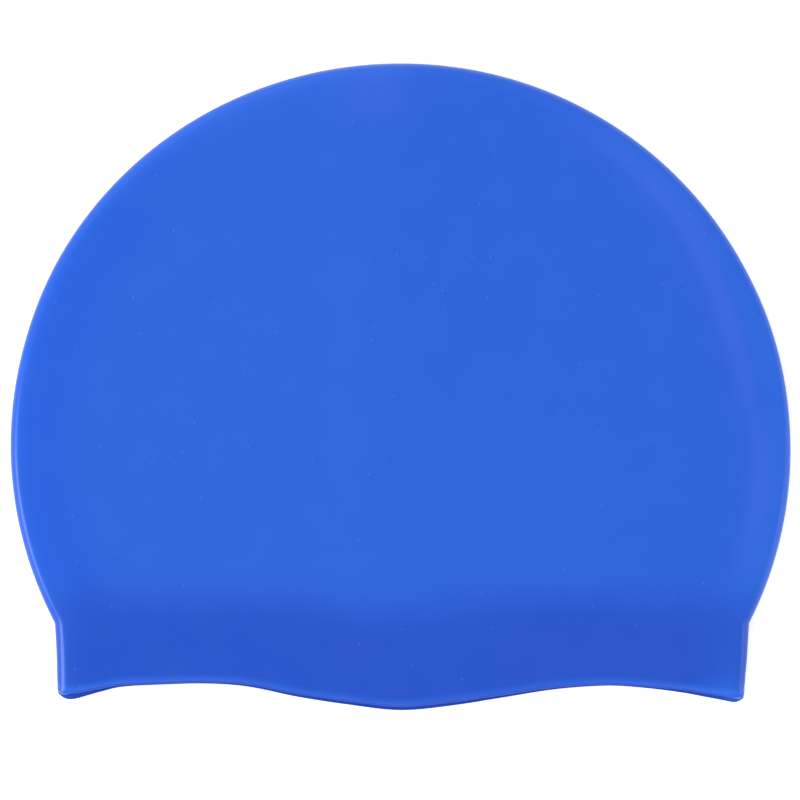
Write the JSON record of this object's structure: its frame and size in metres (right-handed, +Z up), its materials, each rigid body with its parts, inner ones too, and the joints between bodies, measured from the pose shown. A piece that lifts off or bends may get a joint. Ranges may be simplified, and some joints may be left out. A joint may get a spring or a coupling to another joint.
{
  "type": "swim cap",
  "caption": "Moulded silicone swim cap lying flat, with a domed crown, a straight band below side notches and a wavy open rim for the head.",
  "frame": {"origin": "on the surface that the cap lies on, under the middle of its bounding box", "axes": "+X across the cap's width, +Y from the open rim to the top of the crown, +Z up"},
  "size_m": [0.23, 0.1908, 0.011],
  "materials": {
    "silicone": "satin, as moulded"
  },
  "bodies": {
    "root": {"cap_shell": "silicone"}
  },
  "joints": []
}
